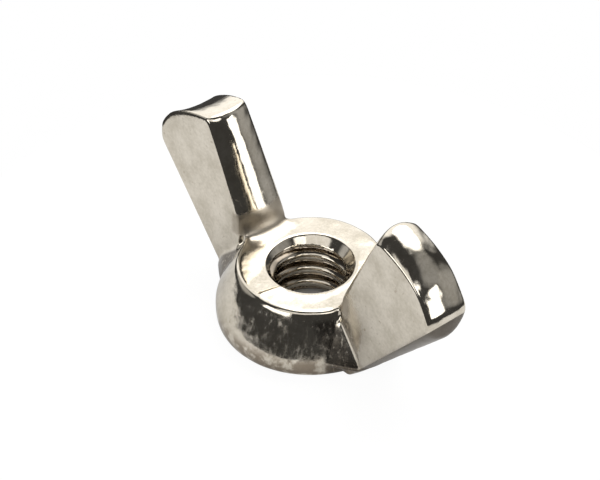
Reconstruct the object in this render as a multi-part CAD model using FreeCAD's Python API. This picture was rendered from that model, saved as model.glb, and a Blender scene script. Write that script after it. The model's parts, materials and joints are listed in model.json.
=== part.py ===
import FreeCAD, Part
import math
import os

# A forged wing nut for a 1/4-20 UNC stud: one piece of plated steel.
# Millimetres. +Z runs up the thread axis, the seating face lies on z = 0,
# and the two wings spread along +X and -X.

# hub: a short boss with an upright lip at the foot and a drafted side above it
LIP_RADIUS = 7.0
LIP_HEIGHT = 1.35
LIP_SHOULDER = 0.3
CONE_FOOT_RADIUS = 6.75
HUB_TOP_RADIUS = 5.5
HUB_HEIGHT = 5.2
FOOT_ROUND = 0.3
RIM_ROUND = 0.3
LIP_ROUND = 0.25

# wings: flat slabs with rounded edges, upright in the XZ plane
WING_THICKNESS = 3.6
WING_HALF = WING_THICKNESS / 2
WING_EDGE_ROUND = 0.5
WING_INNER_X = 5.15
WING_SADDLE_RADIUS = 1.7
SADDLE_END_X = 3.4
# the saddle meets the hub top at a shallow angle, not along a tangent
SADDLE_SINK = 0.05
# the straight lower edge climbs from just above the foot to the outer corner
WING_FOOT = (6.9, 0.35)
WING_TIP = (14.95, 9.0)
WING_TIP_HEIGHT = 1.5
# the web that blends each wing face into the side of the hub
WEB_RADIUS = 1.2
WEB_LOW = 1.5
WEB_HIGH = 4.8
# inside this distance from the axis a wing or web is buried in the hub
BURIED_X = 4.2

# thread: 1/4-20 UNC internal, right hand, with a chamfer at each end
THREAD_MAJOR_RADIUS = 6.35 / 2
THREAD_MINOR_RADIUS = 5.15 / 2
THREAD_PITCH = 25.4 / 20
THREAD_FLANK = math.radians(30)
THREAD_ROOT_FLAT = THREAD_PITCH / 8
THREAD_HELIX_RADIUS = 3.0
THREAD_START_ANGLE = 10
# the groove's cutter opens this far inside the crests, and starts this far below the hub
GROOVE_MOUTH = 0.12
GROOVE_LEAD = 0.6
CHAMFER_RADIUS = 3.3
# the crest of the thread is divided into this many equal faces round the axis
BORE_SECTORS = 8
# how far a cutter stands past the faces it cuts through
PAST = 1.0

UP = FreeCAD.Vector(0, 0, 1)
ORIGIN = FreeCAD.Vector(0, 0, 0)


def in_xz(a, b):
    """A point of an outline drawn in the upright XZ plane."""
    return FreeCAD.Vector(a, 0, b)


def rounded_outline(corners):
    """A closed XZ wire through corners (x, z, radius), each one rounded by its radius."""
    points = [in_xz(x, z) for x, z, radius in corners]
    enters = []
    middles = []
    leaves = []
    for i, (x, z, radius) in enumerate(corners):
        here = points[i]
        to_before = (points[i - 1] - here).normalize()
        to_after = (points[(i + 1) % len(points)] - here).normalize()
        half = to_before.getAngle(to_after) / 2
        bisector = (to_before + to_after).normalize()
        reach = radius / math.tan(half)
        enters.append(here + to_before * reach)
        middles.append(here + bisector * (radius / math.sin(half) - radius))
        leaves.append(here + to_after * reach)
    edges = []
    for i, (x, z, radius) in enumerate(corners):
        if radius > 0:
            edges.append(Part.Arc(enters[i], middles[i], leaves[i]).toShape())
        following = enters[(i + 1) % len(points)]
        edges.append(Part.LineSegment(leaves[i], following).toShape())
    return Part.Wire(edges)


def slab(outline, half_depth):
    """An XZ outline made into a solid that reaches half_depth to each side of y = 0."""
    solid = Part.Face(outline).extrude(FreeCAD.Vector(0, 2 * half_depth, 0))
    solid.translate(FreeCAD.Vector(0, -half_depth, 0))
    return solid


def make_hub():
    """The boss under the wings, turned about the thread axis."""
    outline = rounded_outline([
        (0, 0, 0),
        (LIP_RADIUS, 0, FOOT_ROUND),
        (LIP_RADIUS, LIP_HEIGHT, LIP_ROUND),
        (CONE_FOOT_RADIUS, LIP_HEIGHT + LIP_SHOULDER, LIP_ROUND),
        (HUB_TOP_RADIUS, HUB_HEIGHT, RIM_ROUND),
        (0, HUB_HEIGHT, 0),
    ])
    return Part.Face(outline).revolve(ORIGIN, UP, 360)


def make_wing():
    """The wing on the +X side: it leans outward, and its inner edge ends in a hollow saddle."""
    outline = rounded_outline([
        (BURIED_X, WING_FOOT[1], 0),
        (WING_FOOT[0], WING_FOOT[1], 0),
        (WING_TIP[0], WING_TIP[1], 0.9),
        (WING_TIP[0], WING_TIP[1] + WING_TIP_HEIGHT, 0.9),
        (12.0, 13.4, 3.0),
        (8.8, 14.6, 0.9),
        (6.35, 9.6, 8.0),
        (WING_INNER_X, HUB_HEIGHT - SADDLE_SINK, WING_SADDLE_RADIUS),
        (SADDLE_END_X, HUB_HEIGHT - SADDLE_SINK, 0),
    ])
    wing = slab(outline, WING_HALF)
    return wing.makeFillet(WING_EDGE_ROUND, [e for e in wing.Edges if is_wing_rim(e)])


def is_wing_rim(edge):
    """True for the edges round a wing face, leaving out those buried in the hub."""
    ends = [vertex.Point for vertex in edge.Vertexes]
    on_face = all(abs(abs(end.y) - WING_HALF) < 1e-6 for end in ends)
    across = abs(ends[0].y - ends[-1].y) > 1e-6
    under_hub = all(end.z <= WING_FOOT[1] for end in ends)
    in_hub = any(end.x <= BURIED_X and end.z < HUB_HEIGHT / 2 for end in ends)
    return on_face and not across and not under_hub and not in_hub


def cone_radius(z):
    """The radius of the drafted hub side at height z."""
    low = LIP_HEIGHT + LIP_SHOULDER
    part = (z - low) / (HUB_HEIGHT - low)
    return CONE_FOOT_RADIUS + (HUB_TOP_RADIUS - CONE_FOOT_RADIUS) * part


def web_section(z):
    """A level slice of one web: a hollow arc that touches the wing face and the hub side."""
    reach = cone_radius(z) + WEB_RADIUS
    centre_y = WING_HALF + WEB_RADIUS
    centre = FreeCAD.Vector(math.sqrt(reach ** 2 - centre_y ** 2), centre_y, z)
    toward_hub = FreeCAD.Vector(-centre.x, -centre.y, 0).normalize()
    toward_wing = FreeCAD.Vector(0, -1, 0)
    between = (toward_hub + toward_wing).normalize()
    on_hub = centre + toward_hub * WEB_RADIUS
    on_arc = centre + between * WEB_RADIUS
    on_wing = centre + toward_wing * WEB_RADIUS
    wing_middle = FreeCAD.Vector(on_wing.x, 0, z)
    core = FreeCAD.Vector(BURIED_X, 0, z)
    return Part.Wire([
        Part.Arc(on_hub, on_arc, on_wing).toShape(),
        Part.LineSegment(on_wing, wing_middle).toShape(),
        Part.LineSegment(wing_middle, core).toShape(),
        Part.LineSegment(core, on_hub).toShape(),
    ])


def make_web():
    """The web in the corner between the +X wing's +Y face and the hub."""
    web = Part.makeLoft([web_section(WEB_LOW), web_section(WEB_HIGH)], True, True)
    under_wing = rounded_outline([
        (WING_FOOT[0], WING_FOOT[1], 0),
        (WING_TIP[0], WING_TIP[1], 0),
        (WING_TIP[0], -PAST, 0),
        (WING_FOOT[0], -PAST, 0),
    ])
    return web.cut(slab(under_wing, LIP_RADIUS))


def four_ways(solid):
    """The solid and its mirror images in the YZ and XZ planes."""
    across_x = solid.mirror(ORIGIN, FreeCAD.Vector(1, 0, 0))
    across_y = solid.mirror(ORIGIN, FreeCAD.Vector(0, 1, 0))
    across_both = across_x.mirror(ORIGIN, FreeCAD.Vector(0, 1, 0))
    return [solid, across_x, across_y, across_both]


def bore_cutters():
    """The plain hole at the crest radius, as equal sectors, and its two chamfers."""
    turn = 360 / BORE_SECTORS
    cutters = []
    for i in range(BORE_SECTORS):
        height = HUB_HEIGHT + 2 * PAST
        sector = Part.makeCylinder(THREAD_MINOR_RADIUS, height, ORIGIN - UP * PAST, UP, turn)
        sector.rotate(ORIGIN, UP, i * turn)
        cutters.append(sector)
    wide = CHAMFER_RADIUS + PAST
    narrow = THREAD_MINOR_RADIUS - GROOVE_MOUTH
    depth = wide - narrow
    cutters.append(Part.makeCone(wide, narrow, depth, ORIGIN - UP * PAST, UP))
    top = UP * (HUB_HEIGHT + PAST)
    cutters.append(Part.makeCone(wide, narrow, depth, top, -UP))
    return cutters


def thread_cutters():
    """The groove of the thread as a stack of single turns: a V with a narrow flat at its root."""
    inside = THREAD_MINOR_RADIUS - GROOVE_MOUTH
    root_half = THREAD_ROOT_FLAT / 2
    mouth_half = root_half + (THREAD_MAJOR_RADIUS - inside) * math.tan(THREAD_FLANK)
    profile = Part.makePolygon([
        in_xz(inside, -mouth_half),
        in_xz(THREAD_MAJOR_RADIUS, -root_half),
        in_xz(THREAD_MAJOR_RADIUS, root_half),
        in_xz(inside, mouth_half),
        in_xz(inside, -mouth_half),
    ])
    one_turn = Part.makeHelix(THREAD_PITCH, THREAD_PITCH, THREAD_HELIX_RADIUS)
    sweep = Part.BRepOffsetAPI.MakePipeShell(Part.Wire(one_turn))
    sweep.setBiNormalMode(UP)
    sweep.add(profile)
    sweep.build()
    sweep.makeSolid()
    turn = sweep.shape()
    turn.rotate(ORIGIN, UP, THREAD_START_ANGLE)
    count = math.ceil((HUB_HEIGHT + 2 * GROOVE_LEAD) / THREAD_PITCH)
    grooves = []
    for i in range(count):
        groove = turn.copy()
        groove.translate(UP * (i * THREAD_PITCH - GROOVE_LEAD))
        grooves.append(groove)
    return grooves


def make_wing_nut():
    hub = make_hub()
    wing = make_wing()
    other_wing = wing.mirror(ORIGIN, FreeCAD.Vector(1, 0, 0))
    blank = hub.fuse([wing, other_wing] + four_ways(make_web())).removeSplitter()
    nut = blank.cut(bore_cutters()).cut(thread_cutters())
    return nut.Solids[0]


os.makedirs("parts", exist_ok=True)
nut = make_wing_nut()
nut.exportStep("parts/wing_nut.step")
box = nut.optimalBoundingBox()
print("solids", len(nut.Solids), "valid", nut.isValid(), "volume", round(nut.Volume, 2))
print("size", round(box.XLength, 3), round(box.YLength, 3), round(box.ZLength, 3))
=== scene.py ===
# %% [markdown]
# # A forged wing nut
# A wing nut is one piece of steel: a short round hub with a tapped hole, and two flat wings for a
# finger and a thumb. It is squeezed to shape between dies, tapped, and plated with bright nickel.
# This lesson makes its skin from one distance rule, and then gives it a plated finish.
#
# The frame holds the measured model. The outer sizes and the thread's inner radius are read from
# it, and every other size below is the nut's own, in millimetres.

# %% Load the measured frame
import json
import math
import bpy
from mathutils import Matrix, Vector


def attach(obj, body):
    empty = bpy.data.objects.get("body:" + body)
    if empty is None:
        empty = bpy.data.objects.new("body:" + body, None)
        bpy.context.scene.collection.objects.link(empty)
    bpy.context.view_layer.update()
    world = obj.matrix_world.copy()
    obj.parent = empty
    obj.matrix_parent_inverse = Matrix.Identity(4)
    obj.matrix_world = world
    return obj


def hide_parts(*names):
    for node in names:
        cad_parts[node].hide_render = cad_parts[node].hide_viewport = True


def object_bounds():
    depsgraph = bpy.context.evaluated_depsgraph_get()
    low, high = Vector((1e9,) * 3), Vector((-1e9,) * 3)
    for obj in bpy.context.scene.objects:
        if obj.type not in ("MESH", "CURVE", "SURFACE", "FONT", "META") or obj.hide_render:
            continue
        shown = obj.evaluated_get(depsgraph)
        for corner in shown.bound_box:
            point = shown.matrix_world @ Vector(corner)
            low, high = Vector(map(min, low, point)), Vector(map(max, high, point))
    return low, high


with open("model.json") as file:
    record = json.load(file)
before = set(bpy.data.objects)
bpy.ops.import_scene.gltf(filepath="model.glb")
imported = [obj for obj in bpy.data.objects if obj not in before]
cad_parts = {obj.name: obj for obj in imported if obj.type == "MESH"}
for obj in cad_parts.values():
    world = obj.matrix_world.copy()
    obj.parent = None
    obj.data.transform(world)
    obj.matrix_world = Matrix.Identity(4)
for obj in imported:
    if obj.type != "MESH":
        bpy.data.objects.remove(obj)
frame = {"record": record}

cad_low, cad_high = [list(corner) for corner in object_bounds()]
MM = 0.001
lip_radius = cad_high[1] / MM
full_height = cad_high[2] / MM
print("spread", 2 * cad_high[0] / MM, "foot", 2 * lip_radius, "height", full_height, "mm")

# %% [markdown]
# ## A small way to write node arithmetic
# Geometry Nodes and shaders both do their sums in Math nodes. Wrapping a socket in a class that
# knows the operators lets a rule be written as ordinary Python, and each operator adds its node.
# Every other kind of node comes from one method, which sets the node's choices before its sockets.

# %% Sockets that can be added and multiplied
class Socket:
    """One output of a node, usable in sums."""

    def __init__(self, maker, output):
        self.maker = maker
        self.output = output

    def math(self, operation, *others):
        inputs = dict(enumerate((self,) + others))
        return self.maker.node("ShaderNodeMath", {"operation": operation}, inputs)

    def __add__(self, other):
        return self.math("ADD", other)

    def __sub__(self, other):
        return self.math("SUBTRACT", other)

    def __mul__(self, other):
        return self.math("MULTIPLY", other)

    def __truediv__(self, other):
        return self.math("DIVIDE", other)

    def __rsub__(self, first):
        return self.maker.node("ShaderNodeMath", {"operation": "SUBTRACT"}, {0: first, 1: self})

    def __neg__(self):
        return self.math("MULTIPLY", -1.0)

    __radd__ = __add__
    __rmul__ = __mul__

    def output_named(self, name):
        """Another output of the same node."""
        return Socket(self.maker, self.output.node.outputs[name])


class Maker:
    """Adds nodes to one tree."""

    def __init__(self, tree):
        self.tree = tree

    def node(self, kind, settings=None, inputs=None, output=0):
        new = self.tree.nodes.new(kind)
        for name, value in (settings or {}).items():
            setattr(new, name, value)
        for key, value in (inputs or {}).items():
            if isinstance(value, Socket):
                self.tree.links.new(value.output, new.inputs[key])
            else:
                new.inputs[key].default_value = value
        return Socket(self, new.outputs[output]) if len(new.outputs) else new

    def parts(self, vector):
        """The X, Y and Z of a vector."""
        along_x = self.node("ShaderNodeSeparateXYZ", inputs={0: vector})
        return along_x, along_x.output_named("Y"), along_x.output_named("Z")


print("arithmetic on sockets is ready")

# %% [markdown]
# ## The skin as a distance rule
# A forging has no sharp joins: wings run into hub through hollow blends, and every edge is
# soft. Modelling that with bevels on a mesh is slow work. A distance rule is shorter: a formula
# that is negative inside the metal, zero on the skin and positive outside. Two shapes are joined
# by a soft minimum and trimmed by a soft maximum, and the width says how far the blend reaches.

# %% Soft joins and trims
def joined(a, b, width):
    return a.math("SMOOTH_MIN", b, width)


def trimmed(a, b, width):
    return a.math("SMOOTH_MAX", b, width)


def eased(value, low, high):
    """0 below low, 1 above high, smooth between."""
    return value.maker.node(
        "ShaderNodeMapRange",
        {"interpolation_type": "SMOOTHSTEP"},
        {"Value": value, "From Min": low, "From Max": high},
    )


print("soft joins are ready")

# %% [markdown]
# ## The hub
# The hub is round, so its rule is mostly about the distance from the thread axis and the height.
# Its side is drafted, so that the forging leaves the die. At the foot an upright lip shows where
# the dies met. The dies were a little out of line, so the lip is lower on the +X side. Below it the
# foot rounds in to the seating face. A fine flow line stands up on the top, between the rim and
# the hole, and the top falls away beyond it.

# %% The hub's rule
hub_height = 5.2
hub_top_radius = 5.5
lip_height = 1.65
draft = math.atan2(lip_radius - hub_top_radius, hub_height - lip_height)
die_error = 0.012
shoulder_from = 3.6
shoulder_curve = 0.035
lip_softness = 0.3
foot_softness = 1.8
rim_softness = 0.4
flow_line_half_width = 0.3
flow_line_height = 0.08
top_slope = 0.03
# the soft trim takes a little off the top, and this puts it back
top_allowance = 0.03


def hub_rule(x, y, z, radius):
    side = (radius - hub_top_radius) * math.cos(draft) + (z - hub_height) * math.sin(draft)
    side = side + (hub_height - z) * x * die_error
    # the side rounds over a little before it meets the top
    shoulder = (z - shoulder_from).math("MAXIMUM", 0.0)
    side = side + shoulder * shoulder * shoulder_curve
    body = trimmed(side, radius - lip_radius, lip_softness)
    body = trimmed(body, -z, foot_softness)
    beyond_line = x * 0.97 - y * 0.24 - 1.475
    flow_line = 1 - eased(beyond_line.math("ABSOLUTE"), 0.0, flow_line_half_width)
    flow_line = flow_line * (1 - eased(y, -3.2, -2.2)) * (1 - eased(radius, 4.8, 5.3))
    fall = beyond_line.math("MAXIMUM", 0.0).math("MINIMUM", 2.5) * top_slope
    top = z - hub_height + fall - flow_line * flow_line_height - top_allowance
    return trimmed(body, top, rim_softness)


print("draft of the hub side", round(math.degrees(draft), 1), "degrees")

# %% [markdown]
# ## The wings
# Each wing is a flat plate whose outline is convex, so a few straight lines say it all: a point is
# inside when it is on the inner side of every line. Most edge faces are arched, because the metal
# bulges where the dies did not squeeze it. At the upper outer corner of the -X wing the metal ran
# short, so its edge is hollow there, and lower on its far side.

# %% The wings' rule
tip_half_thickness = 1.75
wing_draft = 0.03
face_softness = 0.22
# the +X wing leans less than the other
plus_x_lean_loss = 0.6
# two border points (out from the axis, up), bulge on the -X and +X wing, more bulge per mm
# of height, lean (how much lower the far side is, per mm of thickness), corner softness
wing_lines = [
    ((7.0, 0.45), (14.3, 8.75), 0.35, 0.35, 0.07, 0.0, 0.1),
    ((14.65, 8.0), (14.65, 10.6), 0.1, 0.25, 0.0, 0.03, 0.4),
    ((14.75, 9.85), (13.55, 11.95), -0.2, 0.3, 0.0, 0.17, 0.4),
    ((13.75, 11.85), (11.8, 13.3), -0.2, 0.35, 0.0, 0.1, 0.6),
    ((12.2, 13.2), (9.6, 13.95), 0.0, 0.6, 0.0, 0.0, 0.9),
    ((9.2, 13.88), (7.45, 10.6), 0.5, 0.5, 0.0, 0.0, 0.9),
    ((7.0, 9.5), (5.65, 6.5), 0.5, 0.5, 0.0, -0.05, 0.6),
    ((5.7, 7.2), (5.6, 5.0), 0.45, 0.45, 0.0, -0.12, 0.25),
]


def wing_rule(x, y, z):
    out = x.math("ABSOLUTE")
    half_thickness = tip_half_thickness + (full_height - z) * wing_draft
    level = y / half_thickness
    arch = (1 - level * level).math("MAXIMUM", 0.0)
    on_plus_x = eased(x, -2.0, 2.0)
    far_side = y * (1 - on_plus_x * plus_x_lean_loss)
    edge = None
    for (x0, z0), (x1, z1), bulge, plus_x_bulge, growth, lean, softness in wing_lines:
        length = math.hypot(x1 - x0, z1 - z0)
        normal_x = (z1 - z0) / length
        normal_z = -(x1 - x0) / length
        beyond = out * normal_x + z * normal_z - (x0 * normal_x + z0 * normal_z)
        bulge_here = z * growth + bulge + on_plus_x * (plus_x_bulge - bulge)
        beyond = beyond - arch * bulge_here + far_side * lean
        edge = beyond if edge is None else trimmed(edge, beyond, softness)
    face = y.math("ABSOLUTE") - half_thickness
    return trimmed(edge, face, face_softness)


print("wing border lines", len(wing_lines))

# %% [markdown]
# ## The tapped hole
# A 1/4-20 UNC thread is a V groove that climbs 1.27 mm each turn. The height minus the turned angle
# says where a point lies across the groove, so one formula makes every turn. Multiplying the flank
# by the sine of the half angle keeps the rule a true distance. A chamfer opens the hole's ends.

# %% The thread's rule
thread_minor = [m for m in frame["record"]["mounts"] if m["name"] == "thread"][0]["dims"]["r_mm"]
thread_major = 6.35 / 2
pitch = 25.4 / 20
root_half_width = pitch / 16
half_angle = math.radians(30)
chamfer_radius = 3.3
chamfer_softness = 0.05
# the part of a turn by which the groove is ahead
thread_start = 0.55
# the chamfer's cone ends this far above the hub, so that it spares the wings
chamfer_reach = 0.6


def thread_rule(x, y, z, radius):
    turned = y.math("ARCTAN2", x) * (1 / (2 * math.pi))
    across = (z * (1 / pitch) - turned + thread_start).math("FRACT")
    from_root = (across - 0.5).math("ABSOLUTE") * pitch
    flank = thread_major - radius - (from_root - root_half_width) * (1 / math.tan(half_angle))
    flank = flank * math.sin(half_angle)
    crest = thread_minor - radius
    root = thread_major - radius
    wall = joined(trimmed(crest, flank, 0.2), root, 0.1)
    top_chamfer = (chamfer_radius - hub_height - radius + z) * math.sqrt(0.5)
    top_chamfer = top_chamfer.math("MINIMUM", hub_height + chamfer_reach - z)
    foot_chamfer = (chamfer_radius - radius - z) * math.sqrt(0.5)
    hole = trimmed(wall, top_chamfer, chamfer_softness)
    return trimmed(hole, foot_chamfer, chamfer_softness)


print("thread radii", thread_minor, thread_major, "pitch", pitch)

# %% [markdown]
# ## One rule for the whole nut
# The wings join the hub in two ways. Beside each wing the die leaves a narrow flat web, and above
# the hub the inner edge of the wing runs out in a deep hollow saddle. The rule changes from one
# join to the other with height. A little slow noise keeps the forged skin from looking machined.

# %% The whole rule as a node group
web_foot = 1.1
web_depth = 0.7
web_taper = 0.27
saddle_width = 1.9
crisp_join = 0.1

nut_field = bpy.data.node_groups.new("wing nut rule", "GeometryNodeTree")
nut_field.interface.new_socket("Place", in_out="INPUT", socket_type="NodeSocketVector")
nut_field.interface.new_socket("Distance", in_out="OUTPUT", socket_type="NodeSocketFloat")
make = Maker(nut_field)
place = make.node("NodeGroupInput")
x, y, z = make.parts(place)
radius = (x * x + y * y).math("SQRT")
from_middle = y.math("ABSOLUTE")

hub = hub_rule(x, y, z, radius)
wings = wing_rule(x, y, z)
# the web is a slanted plane halfway between the hub's side and the wing's face
web = (hub + wings) * math.sqrt(0.5) - web_depth + (z - 2.5).math("MAXIMUM", -1.2) * web_taper
web = trimmed(web, web_foot - z, 0.5)
beside = joined(joined(hub, wings, crisp_join), web, crisp_join)
above = joined(hub, wings, saddle_width)
above_hub = eased(z, 4.4, 5.6) * (1 - eased(from_middle, 1.7, 2.4))
blank = beside + (above - beside) * above_hub
waver = make.node(
    "ShaderNodeTexNoise",
    {"noise_dimensions": "3D"},
    {"Vector": place, "Scale": 0.55, "Detail": 2.5, "Roughness": 0.5},
)
# the wings' edges waver most, and their pressed flats not at all
on_flats = eased(from_middle, 1.55, 1.75) * eased(radius, 6.0, 8.0)
waver_amount = (eased(radius, 7.0, 8.0) * 0.06 + 0.06) * (1 - on_flats)
blank = blank + (waver - 0.5) * waver_amount
blank = trimmed(blank, -z, 0.25)
tapped = trimmed(blank, thread_rule(x, y, z, radius), 0.07)
make.node("NodeGroupOutput", inputs={0: tapped})
print("nodes in the rule", len(nut_field.nodes))

# %% [markdown]
# ## From rule to mesh
# The rule is sampled on a fine grid, and the surface where it is zero becomes a mesh. Blurring the
# points evens out the grid's pattern, and moving each point along its normal by the rule's own
# value puts it back on the skin. The second round blurs less, so that the edges stay crisp.

# %% The inputs of the tree that skins the rule
skin_tree = bpy.data.node_groups.new("skin the rule", "GeometryNodeTree")
input_kinds = {
    "Low": "NodeSocketVector",
    "High": "NodeSocketVector",
    "Grid": "NodeSocketFloat",
    "Finish": "NodeSocketMaterial",
}
input_keys = {}
for name, kind in input_kinds.items():
    socket = skin_tree.interface.new_socket(name, in_out="INPUT", socket_type=kind)
    input_keys[name] = socket.identifier
skin_tree.interface.new_socket("Mesh", in_out="OUTPUT", socket_type="NodeSocketGeometry")
make = Maker(skin_tree)
group_in = make.node("NodeGroupInput")
low, high = group_in.output_named("Low"), group_in.output_named("High")
grid_step = group_in.output_named("Grid")
print("inputs", list(input_keys))


# %% Sample the rule and take its surface
def distance_here():
    """The rule, read at each point."""
    position = make.node("GeometryNodeInputPosition")
    return make.node("GeometryNodeGroup", {"node_tree": nut_field}, {0: position})


span = make.node("ShaderNodeVectorMath", {"operation": "SUBTRACT"}, {0: high, 1: low})
cells = [(side / grid_step).math("CEIL") for side in make.parts(span)]
solid = make.node(
    "GeometryNodeVolumeCube",
    inputs={
        "Density": -distance_here(),
        "Background": -1.0,
        "Min": low,
        "Max": high,
        "Resolution X": cells[0],
        "Resolution Y": cells[1],
        "Resolution Z": cells[2],
    },
)
surface = make.node(
    "GeometryNodeVolumeToMesh",
    {"resolution_mode": "GRID"},
    {"Volume": solid, "Threshold": 0.0},
)
print("nodes so far", len(skin_tree.nodes))


# %% Draw the points to the skin and finish the tree
def drawn_to_skin(mesh):
    """Each point moved along its normal by its distance from the skin."""
    normal = make.node("GeometryNodeInputNormal")
    offset = make.node(
        "ShaderNodeVectorMath",
        {"operation": "SCALE"},
        {0: normal, "Scale": -distance_here()},
    )
    return make.node("GeometryNodeSetPosition", inputs={"Geometry": mesh, "Offset": offset})


for blur_steps in (3, 1):
    blurred = make.node(
        "GeometryNodeBlurAttribute",
        {"data_type": "FLOAT_VECTOR"},
        {"Value": make.node("GeometryNodeInputPosition"), "Iterations": blur_steps},
    )
    surface = make.node(
        "GeometryNodeSetPosition",
        inputs={"Geometry": surface, "Position": blurred},
    )
    surface = drawn_to_skin(drawn_to_skin(surface))
surface = make.node("GeometryNodeSetShadeSmooth", inputs={"Geometry": surface})
surface = make.node("GeometryNodeTransform", inputs={"Geometry": surface, "Scale": (MM, MM, MM)})
surface = make.node("GeometryNodeRealizeInstances", inputs={"Geometry": surface})
surface = make.node(
    "GeometryNodeSetMaterial",
    inputs={"Geometry": surface, "Material": group_in.output_named("Finish")},
)
make.node("NodeGroupOutput", inputs={0: surface})
print("nodes in the skin tree", len(skin_tree.nodes))

# %% [markdown]
# ## Bright nickel
# Nickel is a slightly warm grey mirror. Its colour is the reflection itself, so a metallic surface
# with nickel's own tint does most of the work. Barrel finishing leaves the metal faintly mottled,
# with fine specks. All patterns are read from the place on the nut, so they stay with the metal.

# %% The polished metal
nickel = bpy.data.materials.new("bright_nickel")
nickel.use_nodes = True
nickel.node_tree.nodes.clear()
make = Maker(nickel.node_tree)
place = make.node("ShaderNodeTexCoord").output_named("Object")
place_mm = make.node("ShaderNodeVectorMath", {"operation": "SCALE"}, {0: place, "Scale": 1 / MM})


def noise(scale, detail, roughness=0.5, vector=None):
    return make.node(
        "ShaderNodeTexNoise",
        inputs={
            "Vector": vector or place_mm,
            "Scale": scale,
            "Detail": detail,
            "Roughness": roughness,
        },
    )


def tinted(start, amount, colour):
    """The start colour, moved towards another colour."""
    colours = {0: amount, 6: start, 7: colour}
    return make.node("ShaderNodeMix", {"data_type": "RGBA"}, colours, output=2)


clouds = noise(0.55, 3.0)
grain = noise(4.0, 4.0, 0.65)
specks = eased(noise(2.6, 2.0), 0.66, 0.74)
mottling = eased(clouds * 0.6 + grain * 0.4, 0.3, 0.7)
tint = tinted((0.52, 0.475, 0.395, 1), mottling, (0.72, 0.67, 0.585, 1))
tint = tinted(tint, specks * 0.45, (0.40, 0.34, 0.27, 1))
print("nodes in the polish", len(nickel.node_tree.nodes))

# %% [markdown]
# ## Painted shade, and where the polish does not reach
# The tumbling stones that polish the nut can't get into every hollow, so the saddles stay satin.
# The tint is darkened by painted shade in the thread's grooves, in the saddles and under the wings,
# and the webs get a painted dark reflection with light scratches left in it. Low on the hub the
# tint turns patchy brown. Each of these is a mask that is 1 in its own place, 0 elsewhere, and
# eased between. The masks darken the tint here, and some also roughen the surface further down.

# %% The dull places and the painted shade
x, y, z = make.parts(place_mm)
out = x.math("ABSOLUTE")
from_middle = y.math("ABSOLUTE")
from_axis = (x * x + y * y).math("SQRT")

# painted shade: the tint is darkened in the thread's grooves
groove_painted_shade = eased(from_axis, 2.62, 2.8) * (1 - eased(from_axis, 3.15, 3.25))
groove_painted_shade = groove_painted_shade * (1 - eased(z - from_axis, 1.6, 1.8))
tint = tinted(tint, groove_painted_shade * 0.7, (0.26, 0.21, 0.16, 1))

# the tint turns patchy darker brown low on the hub's side
low_down = (1 - eased(z, 1.3, 2.3)) * eased(from_axis, 5.8, 6.3)
low_brown_patches = eased(noise(0.9, 3.0, 0.6), 0.38, 0.56) * low_down
tint = tinted(tint, low_brown_patches * 0.8, (0.20, 0.155, 0.11, 1))

# a wing's lower edge climbs this much per mm outwards
lower_edge_slope = 1.137
# painted shade: the strip along each wing's lower edge is tinted dark brown and made less metallic
under_wing_painted_shade = 1 - eased(z - out * lower_edge_slope, -7.62, -7.5)
under_wing_painted_shade = under_wing_painted_shade * eased(out, 6.8, 7.6)
tint = tinted(tint, under_wing_painted_shade * (clouds * 0.4 + 0.75), (0.11, 0.09, 0.068, 1))

on_web = eased(from_middle, 2.15, 2.35) * (1 - eased(from_middle, 3.3, 3.9))
on_web = on_web * eased(from_axis, 5.4, 5.8) * (1 - eased(z, 4.2, 4.8))
# stretching the noise upwards turns it into streaks
drawn_out = make.node(
    "ShaderNodeVectorMath",
    {"operation": "MULTIPLY"},
    {0: place_mm, 1: (3.2, 3.2, 0.7)},
)
scratches = eased(noise(1.6, 3.0, 0.6, drawn_out), 0.58, 0.66)
# painted dark reflection: the web's tint is darkened, with lighter scratches left in it
tint = tinted(tint, on_web * (1 - scratches * 0.8) * 0.85, (0.10, 0.085, 0.07, 1))

saddle_satin_and_shade = eased(out, 3.9, 4.5) * (1 - eased(out, 6.3, 6.7)) * (1 - eased(from_middle, 1.9, 2.3))
saddle_satin_and_shade = saddle_satin_and_shade * eased(z, 5.15, 5.5) * (1 - eased(z, 6.9, 7.3))
# painted shade: the tint is darkened in the saddle's hollow, which is also made satin further down
tint = tinted(tint, saddle_satin_and_shade * 0.75, (0.34, 0.295, 0.235, 1))
print("nodes with the dull places", len(nickel.node_tree.nodes))

# %% [markdown]
# ## Put the finish together
# Roughness says how blurred the reflection is. The polish is nearly a mirror, and the masks add to
# it. The die drags up the hub's side and leaves faint upright streaks. Under the wings the painted
# shade also makes the metal less metallic, which dims its reflection there. A very shallow bump
# stands for the grain.

# %% The finished material
on_side = eased(from_axis, 5.55, 5.8) * (1 - eased(out, 7.0, 7.4)) * eased(z, 0.6, 1.4)
die_marks = eased(noise(1.0, 4.0, 0.6, drawn_out), 0.45, 0.75) * on_side
roughness = 0.05 + saddle_satin_and_shade * 0.3 + grain * 0.05 + specks * 0.15 + on_web * 0.1
roughness = roughness + die_marks * 0.16 + under_wing_painted_shade * 0.25
bump = make.node(
    "ShaderNodeBump",
    inputs={"Strength": 0.12, "Distance": 0.02 * MM, "Height": grain + noise(11.0, 3.0) * 0.5},
)
shader = make.node(
    "ShaderNodeBsdfPrincipled",
    inputs={
        "Base Color": tint,
        "Metallic": 1 - under_wing_painted_shade * 0.8,
        "Roughness": roughness,
        "Normal": bump,
    },
)
make.node("ShaderNodeOutputMaterial", inputs={0: shader})
print("nodes in the finish", len(nickel.node_tree.nodes))

# %% [markdown]
# ## Make the piece
# The modifier's inputs are set before the object is first evaluated. The evaluated result is copied
# into a plain mesh, so that the finished piece carries no live modifier.

# %% Build the skin and hand it to the frame
# the grid is this fine, and reaches this far past the measured box
grid_mm = 0.135
margin_mm = 0.6

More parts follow.
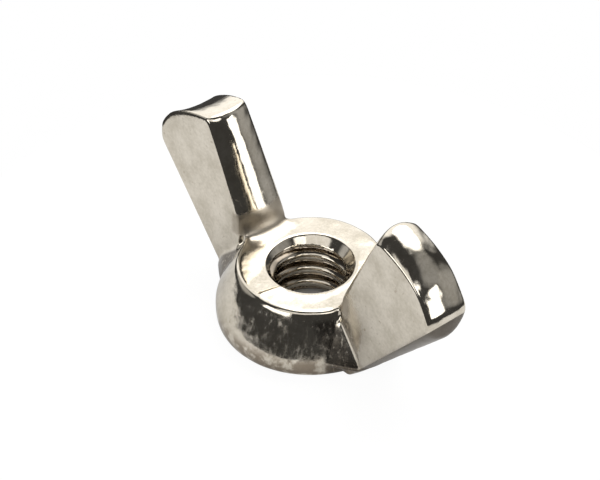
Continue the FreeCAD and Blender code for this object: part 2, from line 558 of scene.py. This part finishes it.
carrier = bpy.data.objects.new("nut_rule_carrier", bpy.data.meshes.new("nut_rule_carrier"))
bpy.context.scene.collection.objects.link(carrier)
modifier = carrier.modifiers.new("skin", "NODES")
modifier.node_group = skin_tree
modifier[input_keys["Low"]] = [corner / MM - margin_mm for corner in cad_low]
modifier[input_keys["High"]] = [corner / MM + margin_mm for corner in cad_high]
modifier[input_keys["Grid"]] = grid_mm
modifier[input_keys["Finish"]] = nickel
bpy.context.view_layer.update()
evaluated = carrier.evaluated_get(bpy.context.evaluated_depsgraph_get())
nut_mesh = bpy.data.meshes.new_from_object(evaluated)
nut_mesh.name = "wing_nut_skin"
bpy.data.objects.remove(carrier)
nut = bpy.data.objects.new("wing_nut_skin", nut_mesh)
bpy.context.scene.collection.objects.link(nut)
triangles = sum(len(face.vertices) - 2 for face in nut_mesh.polygons)
print("skin points", len(nut_mesh.vertices), "triangles", triangles)

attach(nut, "root")
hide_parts("wing_nut")

# %% [markdown]
# ## The floor
# The nut lies on a round pale card. To the camera most of the card's light is its own glow, so it
# merges with the backdrop and only a faint shade shows. In reflections it is a real lit surface
# with a little glow. Under the nut it has no glow, so that the tapped hole looks down on shade.

# %% The pale card
card_radius = 29 * MM
bpy.ops.mesh.primitive_circle_add(vertices=96, radius=card_radius, fill_type="NGON")
floor = bpy.context.object
floor.name = "floor"
pale = bpy.data.materials.new("pale_card")
pale.use_nodes = True
pale.node_tree.nodes.clear()
make = Maker(pale.node_tree)
card = make.node("ShaderNodeBsdfDiffuse", inputs={"Color": (0.82, 0.82, 0.82, 1)})
seen = make.node("ShaderNodeLightPath").output_named("Is Camera Ray")
glow = make.node(
    "ShaderNodeEmission",
    inputs={"Color": (1, 1, 1, 1), "Strength": seen * 0.05 + 1.0},
)
spot = make.node("ShaderNodeNewGeometry").output_named("Position")
from_hole = make.node("ShaderNodeVectorMath", {"operation": "LENGTH"}, {0: spot})
from_hole = from_hole.output_named("Value")
outside = eased(from_hole, 0.6 * lip_radius * MM, 0.9 * lip_radius * MM)
glow_share = (seen * 0.65 + 0.25) * outside
lit_card = make.node("ShaderNodeMixShader", inputs={0: glow_share, 1: card, 2: glow})
make.node("ShaderNodeOutputMaterial", inputs={0: lit_card})
floor.data.materials.append(pale)
print("card radius", card_radius)

# %% [markdown]
# ## The light
# Polished metal shows its surroundings, so the studio is part of the finish. The room is dark, with
# soft boxes and strips of light in it. They are patches of the world's own light, placed by azimuth
# and elevation. The biggest stands opposite the camera, and the hub's flat top mirrors it. The
# camera itself sees a plain pale backdrop.

# %% Two shapes of light
world = bpy.data.worlds.new("studio")
bpy.context.scene.world = world
world.use_nodes = True
world.node_tree.nodes.clear()
make = Maker(world.node_tree)
direction = make.node("ShaderNodeTexCoord")
toward = make.node("ShaderNodeVectorMath", {"operation": "NORMALIZE"}, {0: direction})
toward_x, toward_y, height = make.parts(toward)


def eased_angles(value, outer, inner, wave):
    """Eased between the sines or cosines of two angles in degrees."""
    return eased(value, wave(math.radians(outer)), wave(math.radians(inner)))


def soft_box(azimuth, elevation, half_width, softness, strength):
    """A round patch of light: azimuth from +X towards +Y, all angles in degrees."""
    a, e = math.radians(azimuth), math.radians(elevation)
    centre = (math.cos(a) * math.cos(e), math.sin(a) * math.cos(e), math.sin(e))
    facing = make.node("ShaderNodeVectorMath", {"operation": "DOT_PRODUCT"}, {0: toward, 1: centre})
    facing = facing.output_named("Value")
    return eased_angles(facing, half_width + softness, half_width, math.cos) * strength


def strip_light(azimuth, half_width, low_angle, high_angle, softness, strength):
    """A patch with upright sides, between two elevations; all angles in degrees."""
    a = math.radians(azimuth)
    ahead = toward_x * math.cos(a) + toward_y * math.sin(a)
    ahead = ahead / (1.0001 - height * height).math("SQRT")
    sides = eased_angles(ahead, half_width + softness, half_width, math.cos)
    foot = eased_angles(height, low_angle - softness, low_angle, math.sin)
    head = eased_angles(height, high_angle, high_angle + softness, math.sin)
    return sides * foot * (1 - head) * strength


print("soft boxes and strips are ready")

# %% The room
room_light = 0.06
light = room_light + soft_box(140, 38, 34, 14, 1.42)
light = light + soft_box(105, 58, 20, 8, 2.4)
light = light + strip_light(24, 7.5, -8, 24, 4, 2.8)
light = light + strip_light(-89, 18, 10, 34, 3, 2.4)
light = light + soft_box(56, 8, 8, 18, 0.4)
light = light + soft_box(44, 41, 10, 14, 0.3)
light = light + soft_box(-10, 44, 9, 5, 2.0)
light = light + strip_light(-60, 34, 44, 62, 9, 1.1)
light = light + soft_box(-150, 20, 14, 12, 0.5)
room = make.node("ShaderNodeBackground", inputs={"Color": (1, 0.99, 0.97, 1), "Strength": light})
backdrop = make.node("ShaderNodeBackground", inputs={"Color": (1, 1, 1, 1), "Strength": 1.0})
seen = make.node("ShaderNodeLightPath").output_named("Is Camera Ray")
mixed = make.node("ShaderNodeMixShader", inputs={0: seen, 1: room, 2: backdrop})
make.node("ShaderNodeOutputWorld", inputs={0: mixed})
bpy.context.scene.view_settings.view_transform = "Standard"
print("nodes in the room", len(world.node_tree.nodes))

# %% [markdown]
# ## The camera
# A long lens keeps the near wing and the far wing nearly the same size. The camera looks down at
# about 40 degrees, and is turned a little about its own line of sight. Azimuth 0 looks along +Y.

# %% Place the camera
camera_azimuth = math.radians(49.9)
camera_elevation = math.radians(39.9)
camera_roll = math.radians(-0.7)
camera_distance = 300 * MM
sensor_width = 36.0
# one millimetre at the nut covers this many of the picture's columns
columns_per_mm = 13.586
picture_columns = 600
back = Vector((
    math.sin(camera_azimuth) * math.cos(camera_elevation),
    -math.cos(camera_azimuth) * math.cos(camera_elevation),
    math.sin(camera_elevation),
))
level_right = Vector((math.cos(camera_azimuth), math.sin(camera_azimuth), 0))
level_up = back.cross(level_right)
right = level_right * math.cos(camera_roll) + level_up * math.sin(camera_roll)
up = level_up * math.cos(camera_roll) - level_right * math.sin(camera_roll)
aim = right * (-0.82 * MM) + up * (5.7 * MM)
camera_data = bpy.data.cameras.new("camera")
camera_data.sensor_width = sensor_width
picture_width_mm = picture_columns / columns_per_mm
camera_data.lens = sensor_width * (camera_distance / MM) / picture_width_mm
camera_data.clip_start = 1 * MM
camera = bpy.data.objects.new("camera", camera_data)
bpy.context.scene.collection.objects.link(camera)
camera.location = aim + back * camera_distance
camera.rotation_euler = Matrix((right, up, back)).transposed().to_euler()
bpy.context.scene.camera = camera
print("lens", round(camera_data.lens, 1), "mm at", camera_distance, "m")

# %% [markdown]
# ## The measured box
# The measured model's box is printed.

# %% Print the measured box
print("measured", cad_low, cad_high)
